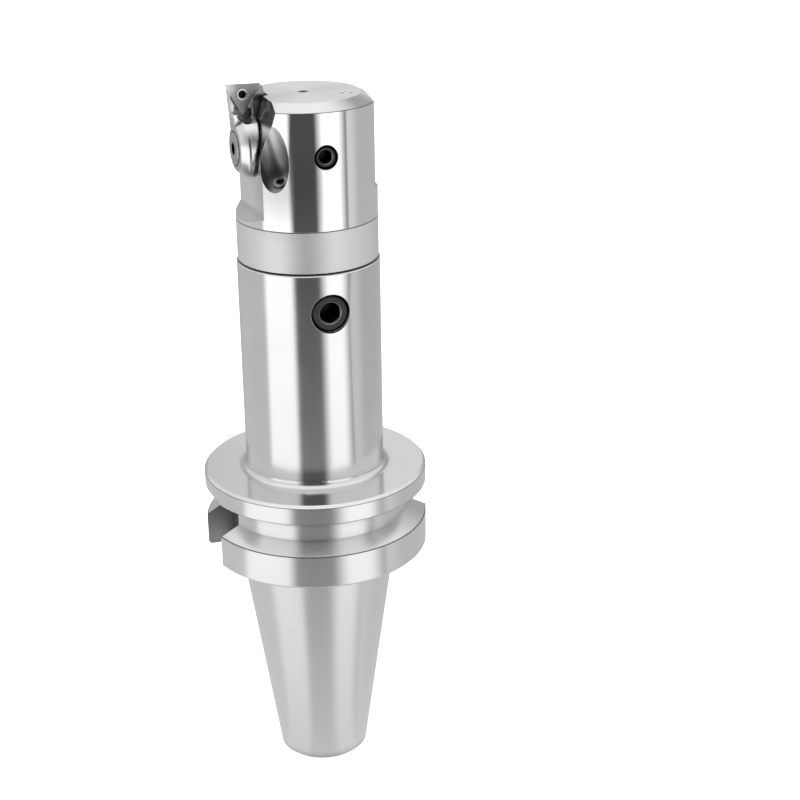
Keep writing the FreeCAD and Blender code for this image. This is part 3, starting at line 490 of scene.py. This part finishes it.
fixed_paint = paint("thin engraving paint", grey_paint_colour, 0.5)
fixed = bmesh.new()
for step in range(scale_last_step + 1):
    line = scale_end_tick if step in (0, scale_last_step) else scale_tick
    tick = add_bar(fixed, line, fine_width)
    angle = scale_start_angle + step * scale_step_angle
    bmesh.ops.transform(fixed, verts=tick, matrix=facing_out(angle, scale_inner_radius, 0))
for text, angle in scale_figures:
    shape = add_figure(fixed, text, scale_figure_height)
    bmesh.ops.transform(fixed, verts=shape, matrix=facing_out(angle, scale_figure_radius, 180))
for tail_angle, head_angle in arrow_angles:
    way = 1 if head_angle > tail_angle else -1
    profile = add_bar(fixed, fine_width, mark_body)
    bmesh.ops.transform(fixed, verts=profile, matrix=facing_out(tail_angle, arrow_radius, 0))
    tail = math.radians(tail_angle)
    onward = Vector((0, -math.sin(tail), math.cos(tail))) * way
    faces = [face for face in fixed.faces if set(face.verts) <= set(profile)]
    front_face = max(faces, key=lambda face: face.calc_center_median().dot(onward))
    bmesh.ops.spin(fixed, geom=[front_face], axis=(1, 0, 0), cent=(0, 0, 0), steps=arrow_steps,
                   angle=math.radians(head_angle - tail_angle))
    for turn in (-90 * way - barb_angle, -90 * way + barb_angle):
        barb = add_bar(fixed, barb_length, fine_width)
        bmesh.ops.transform(fixed, verts=barb, matrix=facing_out(head_angle, arrow_radius, turn))
for across, up, turn in sign_strokes:
    stroke = add_bar(fixed, sign_length, fine_width)
    place = Matrix.Translation((0, across, up)) @ facing_out(0, 0, turn)
    bmesh.ops.transform(fixed, verts=stroke, matrix=place)
bmesh.ops.translate(fixed, verts=fixed.verts, vec=(flat_x + mark_lift - mark_body / 2, 0, slide_axis_height))
add_piece("flat_marks", fixed, fixed_paint, "arbor")


# Dial seal and slide seal: nitrile rubber rings that keep chips and coolant out of the feed. One
# sits in the dial's rim, the other in a groove round the slide bore.
rubber_dark = (0.012, 0.012, 0.012)
rubber_light = (0.03, 0.03, 0.03)


def rubber(name):
    """Matt black rubber with a faint moulded grain."""
    material, tree, shader = blank_finish(name)
    place = shader_node(tree, "ShaderNodeTexCoord").outputs["Object"]
    grain = noise(tree, place, 2600.0, 4.0)
    tone = mixed_colour(tree, grain, opaque(rubber_dark), opaque(rubber_light))
    plug(tree, tone, shader.inputs["Base Color"])
    plug(tree, spread(tree, grain, 0.3, 0.7, 0.5, 0.7), shader.inputs["Roughness"])
    relief = shader_node(tree, "ShaderNodeBump", None, {
        "Strength": 0.4, "Distance": 0.00001, "Height": grain})
    plug(tree, relief.outputs[0], shader.inputs["Normal"])
    return material


seal_rubber = rubber("nitrile seal rubber")
finish_node("dial_seal", seal_rubber)
finish_node("slide_seal", seal_rubber)


# Lock screw and its pad: a black oxide grub screw that presses a brass pad on the slide's flat,
# so that the slide holds its setting and isn't marked.
lock_socket_radius = 0.00176
brass_colour = (0.74, 0.56, 0.28)
finish_node("lock_screw", oxide("black oxide lock screw", slide_middle, towards_front, lock_socket_radius))
finish_node("pressure_pad", machined("brass pad", brass_colour, 0.3, "Y", slide_middle, stain=0.15))


# Key screw: a black oxide screw in the head's back with a ground dog point, which runs in the
# slide's slot and keeps the slide from turning.
towards_back = (0, 1, 0)
key_middle = (-0.002, 0, slide_axis_height)
key_socket_radius = 0.00145
finish_node("key_screw", oxide("black oxide key screw", key_middle, towards_back, key_socket_radius))


# Insert holder: a steel block with a round boss on the slide's end and a horn that reaches up to
# the insert's seat. It is milled, tumbled to break its edges, and plated with satin nickel. Painted shade
# darkens its gullet, its screw's pocket, its boss's top, foot and face and its horn's front, and a painted
# highlight lightens its horn's flank.
towards_insert = (-1, 0, 0)
holder_colour = (0.8, 0.8, 0.795)
gullet_start = (-0.0161, -0.002, 0.1933)
gullet_side_start = (-0.0135, -0.002, 0.1942)
horn_corner_start = (-0.0115, -0.002, 0.1985)
boss_top = (-0.016, -0.0069, 0.188)
boss_foot = (-0.0172, -0.0055, 0.179)
screw_pocket_start = (-0.0172, 0, slide_axis_height)
boss_face_middle = (-0.01915, 0, slide_axis_height)
boss_face_half_size = (0.0003, 0.008, 0.008)
horn_front_middle = (-0.0122, -0.0004, 0.1965)
horn_front_half_size = (0.0016, 0.0003, 0.004)
horn_flank_middle = (-0.0195, 0.003, 0.1955)
horn_flank_half_size = (0.0015, 0.005, 0.005)
plated_holder = machined("satin nickel holder", holder_colour, 0.14, "X", slide_middle, ring_pitch=0.0006,
                         ring_height=0.000002, stretch=0.3, edge=0.0004, stain=0.12, painted_shade_share=0.5, patches=(
    (inside_bore, (gullet_start, towards_back, 0.0023, 0.0062), 0.3, 0.9),
    (inside_bore, (gullet_side_start, towards_back, 0.0026, 0.006), 0.3, 0.9),
    (inside_bore, (horn_corner_start, towards_back, 0.0017, 0.004), 0.3, 0.35),
    (near_spot, (boss_top, 0.0038), 0.2, 0.35),
    (near_spot, (boss_foot, 0.004), 0.2, 0.4),
    (inside_bore, (screw_pocket_start, towards_insert, 0.0047, 0.005), 0.35, 0.06),
    (inside_block, (boss_face_middle, boss_face_half_size), 0.2, 0.7),
    (inside_block, (horn_front_middle, horn_front_half_size), 0.2, 0.5),
    (inside_block, (horn_flank_middle, horn_flank_half_size), 0.2, 1.2),
))
finish_node("insert_holder", plated_holder)


# Holder screw: a dark countersunk screw with a hexagon socket that fixes the holder on the slide,
# with its head standing a little above the boss.
dark_screw_colour = (0.46, 0.46, 0.465)
holder_socket_start = (-0.012, 0, slide_axis_height)
holder_socket_radius = 0.00178
# Painted shade darkens the inside of its socket.
dark_screw = machined("dark holder screw steel", dark_screw_colour, 0.22, "X", slide_middle, stain=0.25,
                      patches=(
    (inside_bore, (holder_socket_start, towards_insert, holder_socket_radius, 0.0085), 0.3, 0.2),
))
finish_node("holder_screw", dark_screw)


# Cutting insert: sintered carbide, ground on its faces, with three edges. It is dark grey with a
# very fine grain, lighter towards its cutting tip, and sits with its hole over the screw.
carbide_colour = (0.37, 0.37, 0.375)
tip_colour = (0.8, 0.8, 0.8)
cutting_tip = (-0.0212, 0, 0.2008)
tip_reach = 0.0046


def carbide(name):
    """Carbide with a fine even grain, lighter towards its cutting tip."""
    material, tree, shader = blank_finish(name)
    shader.inputs["Metallic"].default_value = 1.0
    place = shader_node(tree, "ShaderNodeTexCoord").outputs["Object"]
    grain = noise(tree, place, 5200.0, 2.0)
    cloud = noise(tree, place, 420.0, 4.0)
    stains = spread(tree, cloud, 0.35, 0.65, 0.0, 1.0)
    ground = mixed_colour(tree, stains, opaque(carbide_colour, 0.75), opaque(carbide_colour))
    near_tip = near_spot(tree, {"place": place}, cutting_tip, tip_reach)
    plug(tree, mixed_colour(tree, near_tip, ground, opaque(tip_colour)), shader.inputs["Base Color"])
    plug(tree, spread(tree, grain, 0.3, 0.7, 0.28, 0.42), shader.inputs["Roughness"])
    broken_edge = shader_node(tree, "ShaderNodeBevel", {"samples": 6}, {"Radius": 0.00006}).outputs[0]
    relief = shader_node(tree, "ShaderNodeBump", None, {
        "Strength": 0.5, "Distance": 0.000003, "Height": grain, "Normal": broken_edge})
    plug(tree, relief.outputs[0], shader.inputs["Normal"])
    return material


finish_node("cutting_insert", carbide("ground carbide"))


# Insert screw: a small dark screw with a six-lobed socket and a coned head, which draws the
# insert back against the walls of its seat.
insert_screw_colour = (0.6, 0.6, 0.6)
insert_screw_middle = (-0.01643, 0, 0.1984)
insert_socket_radius = 0.00105
# Painted shade darkens the inside of its socket.
small_screw = machined("dark insert screw steel", insert_screw_colour, 0.2, "Y", insert_screw_middle,
                       ring_pitch=0.0004, stain=0.25, patches=(
    (inside_bore, (insert_screw_middle, towards_back, insert_socket_radius, 0.003), 0.3, 0.06),
))
finish_node("insert_screw", small_screw)


# Coolant nozzle: a turned steel plug screwed into the foot of the scoop, with a hexagon socket and
# a jet hole aimed up at the insert.
finish_node("coolant_nozzle", machined("turned nozzle steel", plain_steel_colour, 0.25, edge=0.0001))


# Plug ball: a hardened steel ball pressed into the top end of a drilled duct, which closes it. Its
# crown stands just above the head's top.
polished_ball = machined("polished ball steel", plain_steel_colour, 0.1, ring_height=0.0000002, stretch=0.0)
finish_node("plug_ball", polished_ball)


# Floor: a pale table on which the tool stands on its taper. Metal mirrors what stands round it, so
# a mirror sees a dark board in front and two wide white boards beside it, where the eye sees the
# white table and the tool's shadow. A board has a first and a last angle and one brightness, and
# the light changes evenly from one board to the next. Near the tool the boards fade out.
floor_radius = 4
floor_colour = (0.85, 0.85, 0.85)
pure_white = (1, 1, 1)
shadow_lift = 0.8
far_brightness = 0.75
fade_length = 0.18
table_boards = (
    (-180, -170, 0.5), (-150, -93, 0.6), (-88, -45, 1.4), (-37, -2, 0.07), (12, 36, 1.4),
    (50, 51, 0.25), (53, 60, 0.7), (75, 180, 0.5))


def boards(tree, east, north, layout):
    """How bright the surroundings are in a direction, from the angle that starts at -Y towards +X."""
    stops = [(edge, bright) for first, last, bright in layout for edge in (first, last)]
    angle = sums(tree, "ARCTAN2", east, sums(tree, "MULTIPLY", north, -1.0))
    share = sums(tree, "ADD", sums(tree, "DIVIDE", angle, 2 * math.pi), 0.5)
    ramp = tree.nodes.new("ShaderNodeFloatCurve")
    plug(tree, share, ramp.inputs["Value"])
    curve = ramp.mapping.curves[0]
    curve.points[0].location = (0, stops[0][1] / 2)
    curve.points[1].location = (1, stops[-1][1] / 2)
    for degrees, bright in stops[1:-1]:
        curve.points.new((degrees + 180) / 360, bright / 2)
    for point in curve.points:
        point.handle_type = "VECTOR"
    ramp.mapping.update()
    return sums(tree, "MULTIPLY", ramp.outputs[0], 2.0)


def between(tree, share, first, second):
    """A number that goes from the first to the second as the share goes from 0 to 1."""
    return sums(tree, "MULTIPLY_ADD", sums(tree, "SUBTRACT", second, first), share, first)


def glow(tree, strength):
    """A white glow of that strength."""
    node = shader_node(tree, "ShaderNodeEmission", None, {"Color": opaque(pure_white), "Strength": strength})
    return node.outputs[0]


floor_mesh = bmesh.new()
bmesh.ops.create_circle(floor_mesh, cap_ends=True, segments=64, radius=floor_radius)
floor_data = bpy.data.meshes.new("floor")
floor_mesh.to_mesh(floor_data)
floor_mesh.free()
floor = bpy.data.objects.new("floor", floor_data)
bpy.context.scene.collection.objects.link(floor)
floor_paint = bpy.data.materials.new("pale floor")
floor_paint.use_nodes = True
floor_tree = floor_paint.node_tree
floor_tree.nodes.clear()
seen_by = shader_node(floor_tree, "ShaderNodeLightPath").outputs
floor_place = shader_node(floor_tree, "ShaderNodeTexCoord").outputs["Object"]
floor_sides = shader_node(floor_tree, "ShaderNodeSeparateXYZ", None, {0: floor_place}).outputs
mirrored_boards = boards(floor_tree, floor_sides[0], floor_sides[1], table_boards)
from_tool = vector_sums(floor_tree, "LENGTH", floor_place, output="Value")
board_fade = sums(floor_tree, "EXPONENT", sums(floor_tree, "DIVIDE", from_tool, -fade_length))
floor_brightness = between(floor_tree, board_fade, mirrored_boards, far_brightness)
mirrored_floor = glow(floor_tree, floor_brightness)
lit_floor = shader_node(floor_tree, "ShaderNodeBsdfDiffuse", None, {"Color": opaque(floor_colour)}).outputs[0]
white_floor = shader_node(floor_tree, "ShaderNodeAddShader", None, {
    0: lit_floor, 1: glow(floor_tree, shadow_lift)}).outputs[0]
plain_floor = shader_node(floor_tree, "ShaderNodeMixShader", None, {
    0: seen_by["Is Camera Ray"], 1: lit_floor, 2: white_floor}).outputs[0]
whole_floor = shader_node(floor_tree, "ShaderNodeMixShader", None, {
    0: seen_by["Is Glossy Ray"], 1: plain_floor, 2: mirrored_floor}).outputs[0]
shader_node(floor_tree, "ShaderNodeOutputMaterial", None, {"Surface": whole_floor})
floor.data.materials.append(floor_paint)


# Room: white walls and a white ceiling round the table, which light the tool. Near the floor they
# carry on the table's boards, and higher up they are darker in front and at one side.
ceiling_brightness = 1.15
wall_boards = (
    (-180, -170, 0.55), (-150, -48, 0.9), (-38, -2, 0.1), (10, 110, 0.95), (132, 144, 0.45),
    (152, 162, 0.85), (174, 180, 0.55))

room = bpy.data.worlds.new("white room")
bpy.context.scene.world = room
room.use_nodes = True
room_tree = room.node_tree
room_tree.nodes.clear()
room_seen_by = shader_node(room_tree, "ShaderNodeLightPath").outputs
direction = shader_node(room_tree, "ShaderNodeTexCoord").outputs["Generated"]
sides = shader_node(room_tree, "ShaderNodeSeparateXYZ", None, {0: direction}).outputs
low_room = boards(room_tree, sides[0], sides[1], table_boards)
walls = boards(room_tree, sides[0], sides[1], wall_boards)
wall_share = spread(room_tree, sides[2], 0.05, 0.22, 0.0, 1.0)
ceiling_share = spread(room_tree, sides[2], 0.6, 0.85, 0.0, 1.0)
lower_room = between(room_tree, wall_share, low_room, walls)
room_light = between(room_tree, ceiling_share, lower_room, ceiling_brightness)
mirrored_room = shader_node(room_tree, "ShaderNodeBackground", None, {
    "Color": opaque(pure_white), "Strength": room_light}).outputs[0]
seen_room = shader_node(room_tree, "ShaderNodeBackground", None, {
    "Color": opaque(pure_white), "Strength": 1.0}).outputs[0]
whole_room = shader_node(room_tree, "ShaderNodeMixShader", None, {
    0: room_seen_by["Is Camera Ray"], 1: mirrored_room, 2: seen_room}).outputs[0]
shader_node(room_tree, "ShaderNodeOutputWorld", None, {"Surface": whole_room})


# Lamps: two large soft boxes above, one on each side, for the small dark pieces and the shadow.
lamp_target = Vector((0, 0, 0.12))


def soft_box(name, place, width, height, watts):
    """A square soft lamp aimed at the middle of the tool."""
    light = bpy.data.lights.new(name, "AREA")
    light.shape = "RECTANGLE"
    light.size = width
    light.size_y = height
    light.energy = watts
    lamp = bpy.data.objects.new(name, light)
    bpy.context.scene.collection.objects.link(lamp)
    lamp.visible_glossy = False
    aim = (lamp_target - Vector(place)).to_track_quat("-Z", "Y")
    lamp.matrix_world = Matrix.Translation(place) @ aim.to_matrix().to_4x4()


soft_box("left_soft_box", (-0.75, -0.55, 0.75), 0.6, 0.6, 5.0)
soft_box("right_soft_box", (0.8, -0.35, 0.6), 0.5, 0.6, 3.0)


# Camera: in front, a little to the insert's side, and above the head, as in the photograph.
camera_place = (-0.1240238, -0.4186975, 0.2843375)
camera_right = Vector((0.93979737, -0.34153615, -0.01157407))
camera_up = Vector((0.13665305, 0.34455077, 0.92876838))
camera_data = bpy.data.cameras.new("camera")
camera_data.lens = 74.972
camera_data.sensor_width = 36.0
camera_data.clip_start = 0.01
camera = bpy.data.objects.new("camera", camera_data)
bpy.context.scene.collection.objects.link(camera)
camera_back = camera_right.cross(camera_up)
turned = Matrix((camera_right, camera_up, camera_back)).transposed().to_4x4()
camera.matrix_world = Matrix.Translation(camera_place) @ turned
bpy.context.scene.camera = camera
bpy.context.scene.view_settings.view_transform = "Standard"
